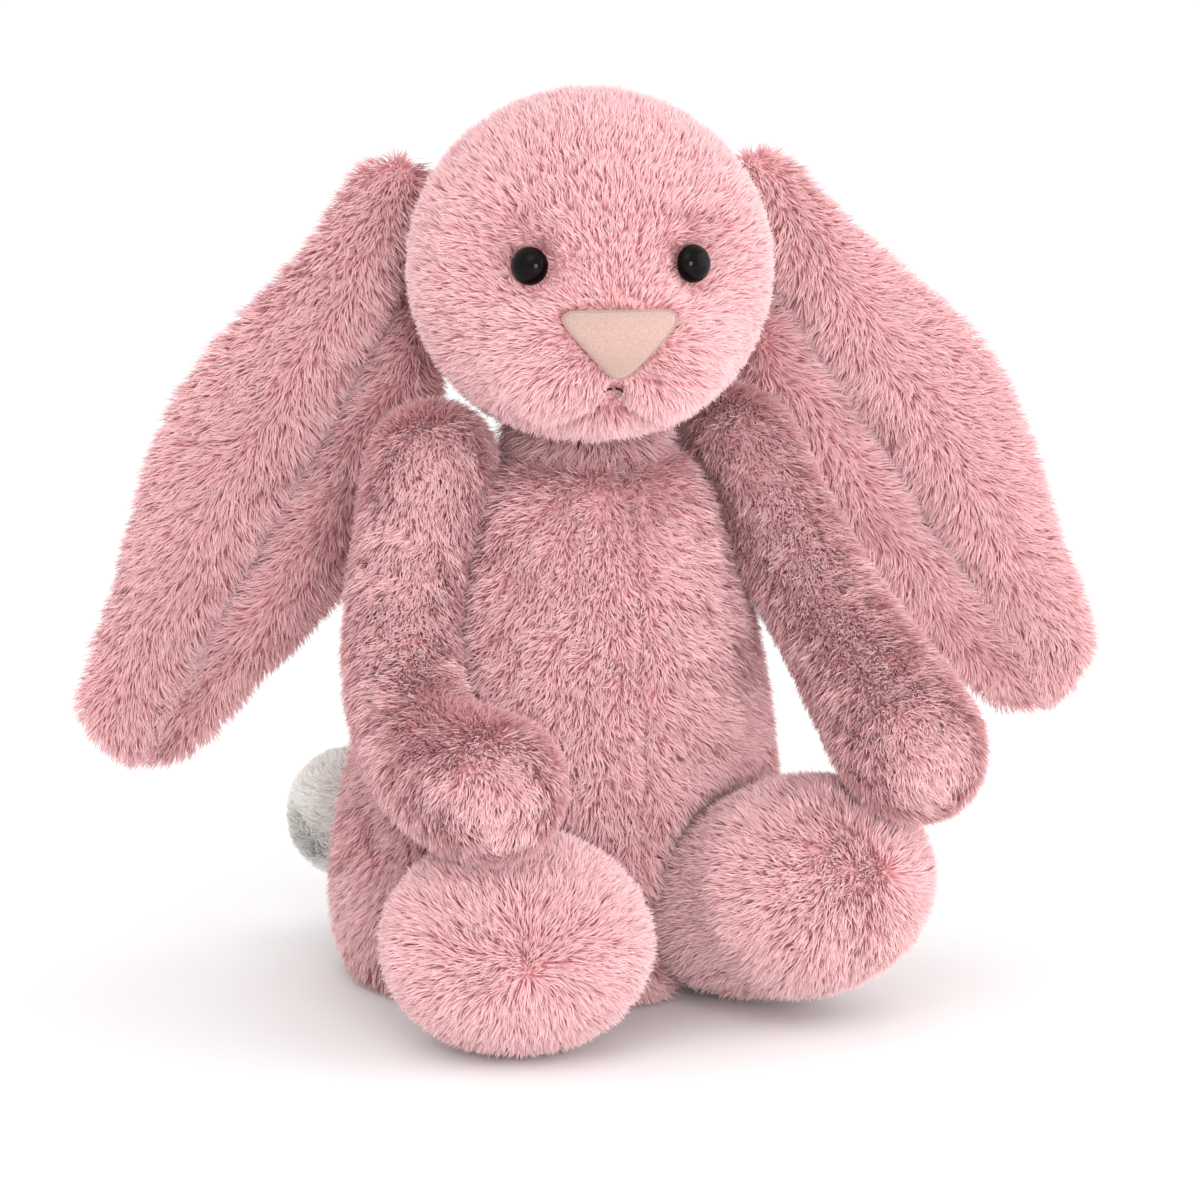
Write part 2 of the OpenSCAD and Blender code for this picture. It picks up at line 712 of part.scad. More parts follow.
module arm_right_outer() { limb_panel(arm(RIGHT), 13, 8, 180); }
module arm_right_inner() { limb_panel(arm(RIGHT), 13, 8, 0); }
module arm_right_stuffing() { limb_stuffing(arm(RIGHT), 13, 8); }

// Ears: flat padded leaves that hang from the back of the head's sides
ear_tip_half = 19;
// Share of the ear's length at which it is widest
ear_middle = 0.52;
// How far each ear's middle line bows in toward the body
ear_left_bow = 2;
ear_right_bow = 8;
function ear_bow(side) = side == LEFT ? ear_left_bow : ear_right_bow;
// How far an ear's end lies behind its root, against how far it hangs down
ear_lean = 0.18;
function ear_spread(side) = side == LEFT ? ear_left_spread : ear_right_spread;
function ear_end(side) =
    let (a = ear_spread(side))
    ear_root(side)
    + (ear_len - ear_root_w / 2 - ear_tip_half) * unit([side * sin(a), ear_lean, -cos(a)]);
function ear(side) = [
    [ear_root(side), mix(ear_root(side), ear_end(side), 0.5) - [side * ear_bow(side), 0, 0], ear_end(side)],
    [[ear_root_w / 2, ear_t / 2 - 1, ear_root_w / 2], [ear_w / 2, ear_t / 2, ear_w / 2],
     [ear_tip_half, ear_t / 2 - 1, ear_tip_half]],
    ear_middle, [0, 1, 0], 0.17, undef
];
module ear_panel(side, from) {
    on_neck()
    limb_panel(ear(side), 13, 8, from);
}
module ear_padding(side) {
    on_neck()
    limb_stuffing(ear(side), 13, 8);
}
module ear_left_front() { ear_panel(LEFT, 180); }
module ear_left_back() { ear_panel(LEFT, 0); }
module ear_left_padding() { ear_padding(LEFT); }
module ear_right_front() { ear_panel(RIGHT, 180); }
module ear_right_back() { ear_panel(RIGHT, 0); }
module ear_right_padding() { ear_padding(RIGHT); }

// ---- tail: a ball on a short thread, to the right of the back seam ----------------------------------

tail_z = 30;
tail_turn = 113;
tail_seat = torso_side(tail_z, tail_turn, 0);
tail_out = unit(tail_seat - torso_axis(tail_z));
tail_centre = tail_seat + tail_out * (tail_d / 2 + turn_gap);
tail_hole_r = 3;
module along_tail() {
    translate(tail_centre)
    rotate([0, 0, atan2(tail_out.y, tail_out.x)])
    rotate([0, 90, 0])
    children();
}
module tail_cover() {
    color("white")
    along_tail()
    difference() {
        sphere(d = tail_d, $fn = 48);
        sphere(d = tail_d - 2 * plush_t, $fn = 48);
        translate([0, 0, -tail_d])
        cylinder(h = tail_d, r = tail_hole_r, $fn = 32);
    }
}
module tail_stuffing() {
    color(stuffing_white)
    along_tail()
    sphere(d = tail_d - 2 * fill_in, $fn = 40);
}
module tail_thread() {
    color("white")
    along_tail()
    translate([0, 0, -tail_d / 2 + 0.3])
    rotate_extrude($fn = 40)
    translate([tail_hole_r - 0.8, 0])
    circle(d = 0.8, $fn = 16);
}

torso_front_left();
torso_front_right();
torso_back_left();
torso_back_right();
torso_base();
torso_stuffing();
bean_pouch();
bean_pellets();
back_closing_stitches();
neck_thread();
neck_stuffing();
head_side_left();
head_side_right();
head_gusset();
chin_gusset();
head_stuffing();
nose_patch();
nose_edge_stitching();
mouth_stitch();
eye_left();
eye_right();
eye_washer_left();
eye_washer_right();
ear_left_front();
ear_left_back();
ear_left_padding();
ear_right_front();
ear_right_back();
ear_right_padding();
arm_left_outer();
arm_left_inner();
arm_left_stuffing();
arm_right_outer();
arm_right_inner();
arm_right_stuffing();
leg_left_upper();
leg_left_under();
leg_left_stuffing();
leg_right_upper();
leg_right_under();
leg_right_stuffing();
tail_cover();
tail_stuffing();
tail_thread();
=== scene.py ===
"""Sitting plush rabbit: soft skins, pile, face and studio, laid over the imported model. Metres, +Z up."""
import json
import math

import bmesh
import bpy
import numpy as np
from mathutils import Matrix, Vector

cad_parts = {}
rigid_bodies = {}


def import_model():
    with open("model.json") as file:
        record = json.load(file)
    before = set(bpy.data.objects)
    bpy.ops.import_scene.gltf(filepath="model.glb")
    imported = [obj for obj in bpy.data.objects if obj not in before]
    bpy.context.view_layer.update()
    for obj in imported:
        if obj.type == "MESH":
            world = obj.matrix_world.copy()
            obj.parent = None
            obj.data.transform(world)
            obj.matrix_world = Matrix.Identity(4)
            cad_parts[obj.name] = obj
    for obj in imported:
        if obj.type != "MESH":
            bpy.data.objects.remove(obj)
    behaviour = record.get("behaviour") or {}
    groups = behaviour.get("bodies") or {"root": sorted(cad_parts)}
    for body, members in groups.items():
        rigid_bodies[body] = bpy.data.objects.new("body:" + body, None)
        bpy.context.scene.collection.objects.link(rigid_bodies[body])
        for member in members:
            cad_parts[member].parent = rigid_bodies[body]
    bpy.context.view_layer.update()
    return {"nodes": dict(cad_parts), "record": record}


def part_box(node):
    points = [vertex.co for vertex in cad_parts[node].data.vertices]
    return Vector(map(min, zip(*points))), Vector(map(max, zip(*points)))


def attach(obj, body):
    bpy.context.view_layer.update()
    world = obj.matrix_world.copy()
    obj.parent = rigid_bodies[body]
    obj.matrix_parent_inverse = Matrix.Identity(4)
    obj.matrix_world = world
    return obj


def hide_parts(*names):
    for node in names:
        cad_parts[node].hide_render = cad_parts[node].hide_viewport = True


bl_info = {
    "name": "Plush rabbit",
    "version": (1, 0, 0),
    "blender": (4, 5, 0),
    "location": "View3D > Sidebar > Rabbit",
    "description": "Builds a sitting plush rabbit over its packed model",
    "category": "Object",
}

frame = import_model()
JOINTS = {j["name"]: j for j in frame["record"]["behaviour"]["joints"]}
BODIES = frame["record"]["behaviour"]["bodies"]
MM = 0.001
UP = np.array([0, 0, 1.0])
# Cell of the voxel remesh, and the least height of a soft point above the floor
VOXEL = 3 * MM
FLOOR_CLEAR = 0.2 * MM
# Height of the nose patch's edge above the backing, and how far its middle sits below the CAD patch's
NOSE_LIFT = 3.2 * MM
NOSE_DROP = 0.4 * MM
# Words in the names of nodes that are neither cover nor filling
HARD_WORDS = ("stitch", "thread", "eye", "nose", "bean")
# Filled by the first step: the points of each body's skin, and the fabrics that later steps share
SKINS = {}
FABRIC = {}


# ---- settings -----------------------------------------------------------------------------------

def colour(name, text, value):
    """A colour setting with its label, description and default."""
    return bpy.props.FloatVectorProperty(name=name, description=text, default=value, size=3,
                                         subtype="COLOR", min=0, max=1)


class RabbitPile(bpy.types.PropertyGroup):
    length: bpy.props.FloatProperty(name="Pile length", description="Length of a strand of the pink pile",
                                    default=5.6 * MM, min=2 * MM, max=20 * MM, unit="LENGTH")
    width: bpy.props.FloatProperty(name="Strand width", description="Width of a strand at its middle",
                                   default=0.42 * MM, min=0.2 * MM, max=2 * MM, unit="LENGTH")
    per_cm2: bpy.props.FloatProperty(name="Density", description="Strands on a square centimetre",
                                     default=345, min=10, max=600)
    inset: bpy.props.FloatProperty(name="Backing depth",
                                   description="Depth of the backing below the pressed pile",
                                   default=1.2 * MM, min=0, max=6 * MM, unit="LENGTH")


class RabbitColours(bpy.types.PropertyGroup):
    # Root, middle and tip make a ramp along each strand: the pile's own pink in the middle, painted shade
    # deep in the pile at the root, painted light at the tip
    root: colour("Pile root", "Colour deep in the pink pile", (0.68, 0.285, 0.305))
    middle: colour("Pile middle", "Colour along the pink pile", (0.86, 0.475, 0.495))
    tip: colour("Pile tip", "Colour at the tips of the pink pile", (0.97, 0.69, 0.70))
    # The tail's root is a little darker than its tip: painted shade deep in the white pile, painted light at
    # its tips
    tail_root: colour("Tail root", "Colour deep in the tail's pile", (0.98, 0.96, 0.93))
    tail_tip: colour("Tail tip", "Colour at the tips of the tail's pile", (1.0, 0.98, 0.95))
    nose: colour("Nose", "Colour of the suede nose", (0.52, 0.34, 0.29))
    thread: colour("Mouth", "Colour of the mouth's thread", (0.03, 0.012, 0.012))


# ---- materials ----------------------------------------------------------------------------------

def new_material(name, rough, sheen=0.0, base=(0.5, 0.5, 0.5)):
    """A material of one Principled shader, whose constants sit on the shader's own sockets."""
    mat = bpy.data.materials.new(name)
    mat.use_nodes = True
    shader = mat.node_tree.nodes["Principled BSDF"]
    shader.inputs["Base Color"].default_value = (*base, 1)
    shader.inputs["Roughness"].default_value = rough
    shader.inputs["Sheen Weight"].default_value = sheen
    return mat, shader


def grained_material(name, rough, sheen, base, grain, depth):
    """A material whose colour and height follow one noise: grain is its size, depth its height."""
    mat, shader = new_material(name, rough, sheen, base)
    nodes, links = mat.node_tree.nodes, mat.node_tree.links
    place = nodes.new("ShaderNodeTexCoord")
    noise = nodes.new("ShaderNodeTexNoise")
    noise.inputs["Scale"].default_value = 1 / grain
    noise.inputs["Detail"].default_value = 3
    ramp = nodes.new("ShaderNodeValToRGB")
    for stop, at, share in zip(ramp.color_ramp.elements, (0.3, 0.7), (0.86, 1.1)):
        stop.position = at
        stop.color = (*(min(1, share * v) for v in base), 1)
    bump = nodes.new("ShaderNodeBump")
    bump.inputs["Distance"].default_value = depth
    links.new(place.outputs["Object"], noise.inputs["Vector"])
    links.new(noise.outputs["Fac"], ramp.inputs["Fac"])
    links.new(ramp.outputs["Color"], shader.inputs["Base Color"])
    links.new(noise.outputs["Fac"], bump.inputs["Height"])
    links.new(bump.outputs["Normal"], shader.inputs["Normal"])
    return mat


def finish_nodes(material, *names):
    """Gives CAD nodes a material."""
    for name in names:
        for place in frame["nodes"][name].material_slots:
            place.material = material


def pile_material(name, root, middle, tip):
    """Pile coloured from root to tip along V, each strand a little lighter or darker by its U. The ramp is
    the pile's own colour with painted shade at the root and painted light at the tip.
    """
    mat, shader = new_material(name, 0.85, 0.25)
    tree = mat.node_tree
    uv = tree.nodes.new("ShaderNodeUVMap")
    uv.uv_map = "OFBake"
    split = tree.nodes.new("ShaderNodeSeparateXYZ")
    ramp = tree.nodes.new("ShaderNodeValToRGB")
    # Painted shade at the root, painted light at the tip, the pile's own colour between
    ramp.color_ramp.elements[0].color = (*root, 1)
    ramp.color_ramp.elements[1].color = (*tip, 1)
    ramp.color_ramp.elements.new(0.5).color = (*middle, 1)
    shade = tree.nodes.new("ShaderNodeMapRange")
    shade.inputs["To Min"].default_value = 0.86
    shade.inputs["To Max"].default_value = 1.10
    tint = tree.nodes.new("ShaderNodeVectorMath")
    tint.operation = "SCALE"
    link = tree.links.new
    link(uv.outputs["UV"], split.inputs[0])
    link(split.outputs["Y"], ramp.inputs[0])
    link(split.outputs["X"], shade.inputs["Value"])
    link(ramp.outputs["Color"], tint.inputs[0])
    link(shade.outputs["Result"], tint.inputs["Scale"])
    link(tint.outputs["Vector"], shader.inputs["Base Color"])
    return mat


# ---- meshes -------------------------------------------------------------------------------------

def make_object(name, points, triangles, material):
    """A smooth shaded mesh object from arrays of points and triangles."""
    mesh = bpy.data.meshes.new(name)
    mesh.vertices.add(len(points))
    mesh.vertices.foreach_set("co", np.ascontiguousarray(points, np.float32).ravel())
    mesh.loops.add(triangles.size)
    mesh.loops.foreach_set("vertex_index", np.ascontiguousarray(triangles, np.int32).ravel())
    mesh.polygons.add(len(triangles))
    mesh.polygons.foreach_set("loop_start", np.arange(0, triangles.size, 3, dtype=np.int32))
    mesh.update(calc_edges=True)
    mesh.polygons.foreach_set("use_smooth", np.ones(len(triangles), bool))
    obj = bpy.data.objects.new(name, mesh)
    bpy.context.collection.objects.link(obj)
    mesh.materials.append(material)
    return obj


def arrays(obj):
    """Points, triangles and vertex normals of an object with its modifiers."""
    whole = obj.evaluated_get(bpy.context.evaluated_depsgraph_get())
    mesh = whole.to_mesh()
    mesh.calc_loop_triangles()
    points = np.empty(len(mesh.vertices) * 3, np.float32)
    mesh.vertices.foreach_get("co", points)
    normals = np.empty(len(mesh.vertices) * 3, np.float32)
    mesh.vertices.foreach_get("normal", normals)
    triangles = np.empty(len(mesh.loop_triangles) * 3, np.int32)
    mesh.loop_triangles.foreach_get("vertices", triangles)
    whole.to_mesh_clear()
    return points.reshape(-1, 3).astype(float), triangles.reshape(-1, 3), normals.reshape(-1, 3).astype(float)


def unit(v):
    """Vectors divided by their own lengths."""
    return v / np.maximum(np.linalg.norm(v, axis=-1, keepdims=True), 1e-12)


def ring_grid(rows, around):
    """Point numbers of each face's first two corners, on rows of rings of points that close on themselves."""
    i, j = np.meshgrid(np.arange(rows), np.arange(around), indexing="ij")
    return i * around + j, i * around + (j + 1) % around


def quads(a, b, c, d):
    """Two triangles for each face with the corners a, b, c and d."""
    return np.concatenate([np.stack([a, b, c], -1).reshape(-1, 3), np.stack([a, c, d], -1).reshape(-1, 3)])


def apply_modifiers(obj):
    """Bakes an object's modifiers into its mesh."""
    whole = obj.evaluated_get(bpy.context.evaluated_depsgraph_get())
    done = bpy.data.meshes.new_from_object(whole)
    obj.modifiers.clear()
    obj.data = done


def solid_skin(name, nodes, material, inset):
    """One closed skin round copies of CAD nodes: merged, remeshed, smoothed and drawn inwards by inset."""
    form = bmesh.new()
    for node in nodes:
        part = bmesh.new()
        part.from_mesh(frame["nodes"][node].data)
        bmesh.ops.remove_doubles(part, verts=part.verts, dist=1e-6)
        copy = bpy.data.meshes.new("copy")
        part.to_mesh(copy)
        part.free()
        form.from_mesh(copy)
        bpy.data.meshes.remove(copy)
    mesh = bpy.data.meshes.new(name)
    form.to_mesh(mesh)
    form.free()
    obj = bpy.data.objects.new(name, mesh)
    bpy.context.collection.objects.link(obj)
    remesh = obj.modifiers.new("remesh", "REMESH")
    remesh.mode = "VOXEL"
    remesh.voxel_size = VOXEL
    smooth = obj.modifiers.new("smooth", "SMOOTH")
    smooth.factor = 0.5
    smooth.iterations = 8
    apply_modifiers(obj)
    points, triangles, normals = arrays(obj)
    bpy.data.objects.remove(obj)
    points = points - normals * inset
    points[:, 2] = np.maximum(points[:, 2], FLOOR_CLEAR)
    return make_object(name, points, triangles, material)


def move_skin(obj, field):
    """Moves a skin's points along their normals by field(points, normals), a numpy array of lengths."""
    points, _, normals = arrays(obj)
    points = points + normals * field(points, normals)[:, None]
    points[:, 2] = np.maximum(points[:, 2], FLOOR_CLEAR)
    obj.data.vertices.foreach_set("co", points.astype(np.float32).ravel())
    obj.data.update()


# ---- pile ---------------------------------------------------------------------------------------

STATIONS = np.array([0.0, 0.52, 1.0])
RIBBON = np.array([[0, 1, 3], [0, 3, 2], [2, 3, 4]])
STRAND_POINTS = 5
# Room to the next body at which a strand keeps its whole length; with none it keeps half
FULL_ROOM = 2.5 * MM
# Shorter strands are left out
SHORTEST = 0.6 * MM
# Most triangles in one piece of pile
PILE_LIMIT = 190000


def waves(points, scale, seed):
    """Smooth noise from -1 to 1: a mean of sine waves whose directions are drawn from the seed."""
    rng = np.random.default_rng(seed)
    total = np.zeros(len(points))
    for _ in range(6):
        run = unit(rng.normal(size=3)) * 2 * math.pi / scale * rng.uniform(0.6, 1.6)
        total += np.sin(points @ run + rng.uniform(0, 6.28))
    return total / 3


def clearance(body, points, limit=12 * MM):
    """Distance from each point to the nearest skin point of another body, up to limit.

    The squared distances of a block are |p|^2 + |q|^2 - 2 p.q for its points p and the points q near them.
    """
    others = np.concatenate([skin for other, skin in SKINS.items() if other != body])
    others = others[((others > points.min(0) - limit) & (others < points.max(0) + limit)).all(1)]
    best = []
    for block in np.array_split(points, len(points) // 500 + 1):
        square = (block ** 2).sum(1)[:, None] + (others ** 2).sum(1) - 2 * block @ others.T
        best.append(np.sqrt(np.maximum(square.min(1, initial=limit ** 2), 0)))
    return np.minimum(np.concatenate(best), limit)


def strands(body, skin, flow, seed, length, width, per_cm2, scale=None, lift=(78, 30), clump=0.4,
            clump_size=1.9 * MM, swirl=0.35, free=False):
    """Ribbons that leave the skin steeply and bend along its flow, their tips drawn together in tufts.

    A strand's slope falls evenly from the first angle of lift at its root to the second at its tip. Roots
    fall evenly by area. The flow is laid into the skin and turned by smooth noise.
    """
    rng = np.random.default_rng(seed)
    points, triangles, normals = arrays(skin)
    a, b, c = (points[triangles[:, k]] for k in range(3))
    area = np.linalg.norm(np.cross(b - a, c - a), axis=1) / 2
    count = int(area.sum() * 1e4 * per_cm2)
    pick = rng.choice(len(triangles), count, p=area / area.sum())
    u, v = rng.random((2, count))
    over = u + v > 1
    u[over], v[over] = 1 - u[over], 1 - v[over]
    weight = np.stack([1 - u - v, u, v], 1)[..., None]
    root = (points[triangles[pick]] * weight).sum(1)
    normal = unit((normals[triangles[pick]] * weight).sum(1))
    room = np.full(count, 1.0) if free else (clearance(body, points)[triangles[pick]] * weight[..., 0]).sum(1)
    size = length * rng.uniform(0.7, 1.1, count) * np.clip(room / FULL_ROOM, 0.5, 1)
    if scale is not None:
        size = size * scale(root)
    keep = size > SHORTEST
    root, normal, size = root[keep], normal[keep], size[keep]
    count = len(root)
    run = flow(root, normal)
    run = unit(run - normal * (run * normal).sum(1, keepdims=True))
    turn = swirl * waves(root, 30 * MM, seed + 1) + 0.5 * waves(root, 8 * MM, seed + 5)
    turn += rng.normal(0, 0.5, count)
    across = np.cross(normal, run)
    run = run * np.cos(turn)[:, None] + across * np.sin(turn)[:, None]
    slope = np.radians(lift[0] + (lift[1] - lift[0]) * STATIONS) + rng.normal(0, 0.2, (count, 1))
    step = np.diff(STATIONS)
    middle = (slope[:, 1:] + slope[:, :-1]) / 2
    along = np.cumsum(np.cos(middle) * step, 1) * size[:, None]
    rise = np.cumsum(np.sin(middle) * step, 1) * size[:, None]
    path = root[:, None] + run[:, None] * np.pad(along, ((0, 0), (1, 0)))[..., None] \
        + normal[:, None] * np.pad(rise, ((0, 0), (1, 0)))[..., None]
    shift = np.stack([waves(root, 9 * MM, seed + k) for k in (2, 3, 4)], 1)
    cell = np.floor((root + clump_size * 0.4 * shift) / clump_size).astype(int)
    _, tuft = np.unique(cell, axis=0, return_inverse=True)
    tuft = tuft.ravel()
    total = np.bincount(tuft)
    centre = np.stack([np.bincount(tuft, path[:, -1, k]) / total for k in range(3)], 1)[tuft]
    path += (centre - path[:, -1])[:, None] * (clump * STATIONS ** 1.5)[None, :, None]
    tilt = rng.uniform(-0.7, 0.7, count)[:, None]
    side = unit(np.cross(normal, run) * np.cos(tilt) + normal * np.sin(tilt))
    half = width / 2 * np.array([1.0, 0.85])[None, :, None] * rng.uniform(0.75, 1.25, (count, 1, 1))
    left = path[:, :2] + side[:, None] * half
    right = path[:, :2] - side[:, None] * half
    ribbon = np.concatenate([np.stack([left, right], 2).reshape(count, 4, 3), path[:, 2:]], 1)
    ribbon[..., 2] = np.maximum(ribbon[..., 2], FLOOR_CLEAR)
    faces = (np.arange(count)[:, None, None] * STRAND_POINTS + RIBBON).reshape(-1, 3)
    shade = rng.uniform(0.03, 0.97, count)[:, None]
    place_u = shade + np.array([-0.02, 0.02] * 2 + [0.0])
    place_v = np.repeat(STATIONS, [2, 2, 1])[None, :].repeat(count, 0)
    return ribbon.reshape(-1, 3), faces, np.stack([place_u, place_v], 2).reshape(-1, 2)


def make_pile(body, skin, material, slot, flow, seed, **how):
    """The pile of one skin, shared out strand by strand among pieces of at most PILE_LIMIT triangles."""
    points, faces, places = strands(body, skin, flow, seed, **how)
    count = len(points) // STRAND_POINTS
    parts = math.ceil(len(faces) / PILE_LIMIT)
    for part in range(parts):
        mine = np.arange(part, count, parts)
        verts = (mine[:, None] * STRAND_POINTS + np.arange(STRAND_POINTS)).ravel()
        local = (np.arange(len(mine))[:, None, None] * STRAND_POINTS + RIBBON).reshape(-1, 3)
        name = f"{skin.name}_pile" + (f"_{part + 1}" if parts > 1 else "")
        obj = make_object(name, points[verts], local, material)
        layer = obj.data.uv_layers.new(name="OFBake")
        layer.data.foreach_set("uv", np.clip(places[verts][local.ravel()], 0, 1).astype(np.float32).ravel())
        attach(obj, body)


# ---- places on the rabbit -----------------------------------------------------------------------

def middle_of(node):
    """Middle of a CAD node's box."""
    low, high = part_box(node)
    return (np.array(low) + np.array(high)) / 2


NECK = np.array(JOINTS["head_turn"]["pos_m"])
NOSE = middle_of("nose_patch")
MOUTH = middle_of("mouth_stitch")
HEAD_LEFT = np.array(JOINTS["head_nod"]["axis"])
HEAD_FRONT = np.array([HEAD_LEFT[1], -HEAD_LEFT[0], 0])
# The mouth's place from the nose, to the head's left and up
MOUTH_X, MOUTH_Z = (MOUTH - NOSE) @ HEAD_LEFT, (MOUTH - NOSE)[2]


def eye_front(node):
    """The foremost point of an eye, along the way the head faces."""
    points = arrays(frame["nodes"][node])[0]
    return points[np.argmax(points @ HEAD_FRONT)]


EYE_POINTS = [eye_front("eye_left"), eye_front("eye_right")]
EYES = {side: ((p - NOSE) @ HEAD_LEFT, (p - NOSE)[2]) for side, p in zip((1, -1), EYE_POINTS)}


def limb_line(joint, skin):
    """Root, far end and unit direction of a limb's skin, measured from its joint."""
    points = arrays(skin)[0]
    root = np.array(JOINTS[joint]["pos_m"])
    far = points[np.argmax(((points - root) ** 2).sum(1))]
    return root, far, unit(far - root)


def on_face(p):
    """Places measured from the nose: to the head's left, up, and out of the face."""
    off = p - NOSE
    return off @ HEAD_LEFT, off[:, 2], off @ HEAD_FRONT


def gauss(x, spread):
    """A bell curve that is 1 at 0 and falls to 0.37 at spread."""
    return np.exp(-(x / spread) ** 2)


def mouth_line(x):
    """Height of the mouth under the nose: a point in the middle whose two arms fall away to the sides."""
    return (-14.2 - 0.42 * np.abs(x / MM) - 0.008 * (x / MM) ** 2) * MM


def muzzle(x, z):
    """1 on the muzzle and 0 off it: a smooth step at the edge of an oval round the nose."""
    return 1 / (1 + np.exp(9 * (np.hypot(x / (25 * MM), (z + 6 * MM) / (15 * MM)) - 1)))


def sculpt_head(p, n):
    """How far the head's skin moves outwards.

    The muzzle is a low oval step round the nose and two cheeks swell on it, each eye sits in a hollow
    that opens outwards, and the mouth is a narrow groove that falls away from a pit under the nose.
    """
    x, z, out = on_face(p)
    front = np.clip((out + 30 * MM) / (12 * MM), 0, 1)
    pit = gauss(np.hypot(x - MOUTH_X, z - MOUTH_Z - 1 * MM), 4 * MM)
    move = 3.0 * MM * muzzle(x, z) * (1 - pit)
    for side in (-1, 1):
        move += 3.6 * MM * gauss(x - side * 13 * MM, 10 * MM) * gauss(z + 6 * MM, 9 * MM)
        eye_x, eye_z = EYES[side]
        wide = np.where((x - eye_x) * side > 0, 11, 5) * MM
        move -= 4.0 * MM * gauss((x - eye_x) / wide, 1) * gauss(z - eye_z - 1 * MM, 6.5 * MM)
    fold = np.clip(1 - np.abs(x) / (16 * MM), 0, 1)
    move -= 3.6 * MM * gauss(z - mouth_line(x), 1.9 * MM) * fold
    move -= 1.6 * MM * gauss(x, 1.6 * MM) * (z < -8 * MM) * (z > -16 * MM)
    return move * front


def head_scale(p):
    """Pile is short near the nose and longer on the muzzle, bare under the nose patch, near each eye and
    over the mouth's stitch, and cropped along the mouth's line."""
    x, z, out = on_face(p)
    size = np.clip(0.5 + np.hypot(x, z) / (60 * MM), 0.5, 0.85) \
        + 0.3 * muzzle(x, z) * (out > -25 * MM) * np.clip(np.hypot(x, z) / (14 * MM) - 0.5, 0, 1)
    turn = np.arctan2(z + NOSE_DROP, x)
    covered = (np.hypot(x, z + NOSE_DROP) < 0.96 * nose_reach(turn) * MM) & (out > -14 * MM)
    size[covered] = 0
    for point in EYE_POINTS:
        gap = np.linalg.norm(p - point, axis=1) - 4.8 * MM
        size *= np.clip(gap / (7 * MM), 0, 1) ** 0.7
    size *= 1 - 0.6 * gauss(z - mouth_line(x), 1.4 * MM) * (np.abs(x) < 14 * MM) * (out > -20 * MM)
    over = np.hypot(x - MOUTH_X, (z - MOUTH_Z - 1.5 * MM) * 0.8)
    size *= 1 - 0.97 * gauss(over, 3.4 * MM) * (out > -20 * MM)
    return size


def head_flow(p, n):
    """Pile runs away from the nose, and away from each eye close to it."""
    run = unit(p - NOSE)
    for point in EYE_POINTS:
        off = p - point
        near = gauss(np.linalg.norm(off, axis=1), 7.5 * MM)[:, None]
        run = run * (1 - near) + unit(off) * near
    return run


def off_seam(p):
    """Place to the left of the torso's middle seam, which leans from the seat's middle to the neck."""
    return p[:, 0] - NECK[0] * p[:, 2] / NECK[2]


def torso_flow(p, n):
    """Pile runs down, and out from the middle seam."""
    out = np.tanh(off_seam(p) / (12 * MM))
    return np.stack([0.55 * out, np.zeros(len(p)), -np.ones(len(p))], 1)


def limb_flow(line, spread):
    """Pile runs from the root to the far end, and out from the limb's middle line."""
    root, _, run = line

    def flow(p, n):
        off = p - root
        off = off - (off @ run)[:, None] * run
        return run + spread * off / (15 * MM)
    return flow


def foot_flow(line):
    """Pile runs back over the foot from the middle of its front."""
    return lambda p, n: p - line[1]


def sculpt_torso(p, n):
    """The middle seam of the front draws the skin in along a line from the neck to the seat, and the
    shoulders rise in a ring round the neck."""
    ring = gauss(np.linalg.norm(p[:, :2] - NECK[:2], axis=1) - 27 * MM, 9 * MM)
    rise = ring * np.clip((p[:, 2] - NECK[2] + 26 * MM) / (14 * MM), 0, 1) * np.clip(n[:, 2], 0, 1)
    return 3.5 * MM * rise - 1.6 * MM * gauss(off_seam(p), 1.8 * MM) * (n[:, 1] < -0.2)


def torso_scale(p):
    """The pile lies shorter along the middle seam."""
    return 1 - 0.45 * gauss(off_seam(p), 1.5 * MM)


def sculpt_arm(joint):
    """The shoulder swells by a bell curve of the distance from the arm's root, less where it faces down."""
    root = np.array(JOINTS[joint]["pos_m"])

    def field(p, n):
        return 4 * MM * gauss(np.linalg.norm(p - root, axis=1), 19 * MM) * np.clip(n[:, 2] + 0.5, 0, 1)
    return field


def tail_flow(p, n):
    """Pile runs round the tail, across the skin's normal and the way out from a point below its middle."""
    return np.cross(n, p - middle_of("tail_cover") + 10 * MM * UP)


# Places of an ear's two raised lobes, measured inwards from its fold
INNER_LOBE, OUTER_LOBE = 11 * MM, -13 * MM


def ear_place(side, p):
    """Share of the ear's length, place across it, inward positive, and that place measured from the fold."""
    root, run, across = EAR_AXES[side]
    off = p - root
    along = off @ run / EAR_SPAN[side]
    wide = off @ across
    return along, wide, wide - (11 - 11 * along) * MM


def fold_share(along):
    """1 along an ear's fold, falling evenly to 0 at the ear's root and before its tip."""
    return np.clip(along / 0.12, 0, 1) * np.clip((0.86 - along) / 0.2, 0, 1)


def sculpt_ear(side):
    """A long fold down the front of the ear between two raised lobes, closing before the tip, and an edge
    that swells toward the body in the ear's upper half."""
    def field(p, n):
        along, _, fold = ear_place(side, p)
        front = np.clip(-n[:, 1] * 2, 0, 1)
        lobes = gauss(fold - INNER_LOBE, 7 * MM) + gauss(fold - OUTER_LOBE, 10 * MM)
        inner = np.clip(n @ EAR_AXES[side][2], 0, 1) ** 2 * gauss(along - 0.33, 0.24)
        move = 2.6 * MM * lobes - 6.0 * MM * gauss(fold, 3.4 * MM)
        return fold_share(along) * front * move + 6 * MM * inner
    return field


def ear_flow(side):
    """Pile runs down the ear and out from the middle of each lobe."""
    def flow(p, n):
        _, run, across = EAR_AXES[side]
        fold = ear_place(side, p)[2]
        lobe = np.where(fold > 0, INNER_LOBE, OUTER_LOBE)
        return run + 0.9 * np.tanh((fold - lobe) / (6 * MM))[:, None] * across
    return flow


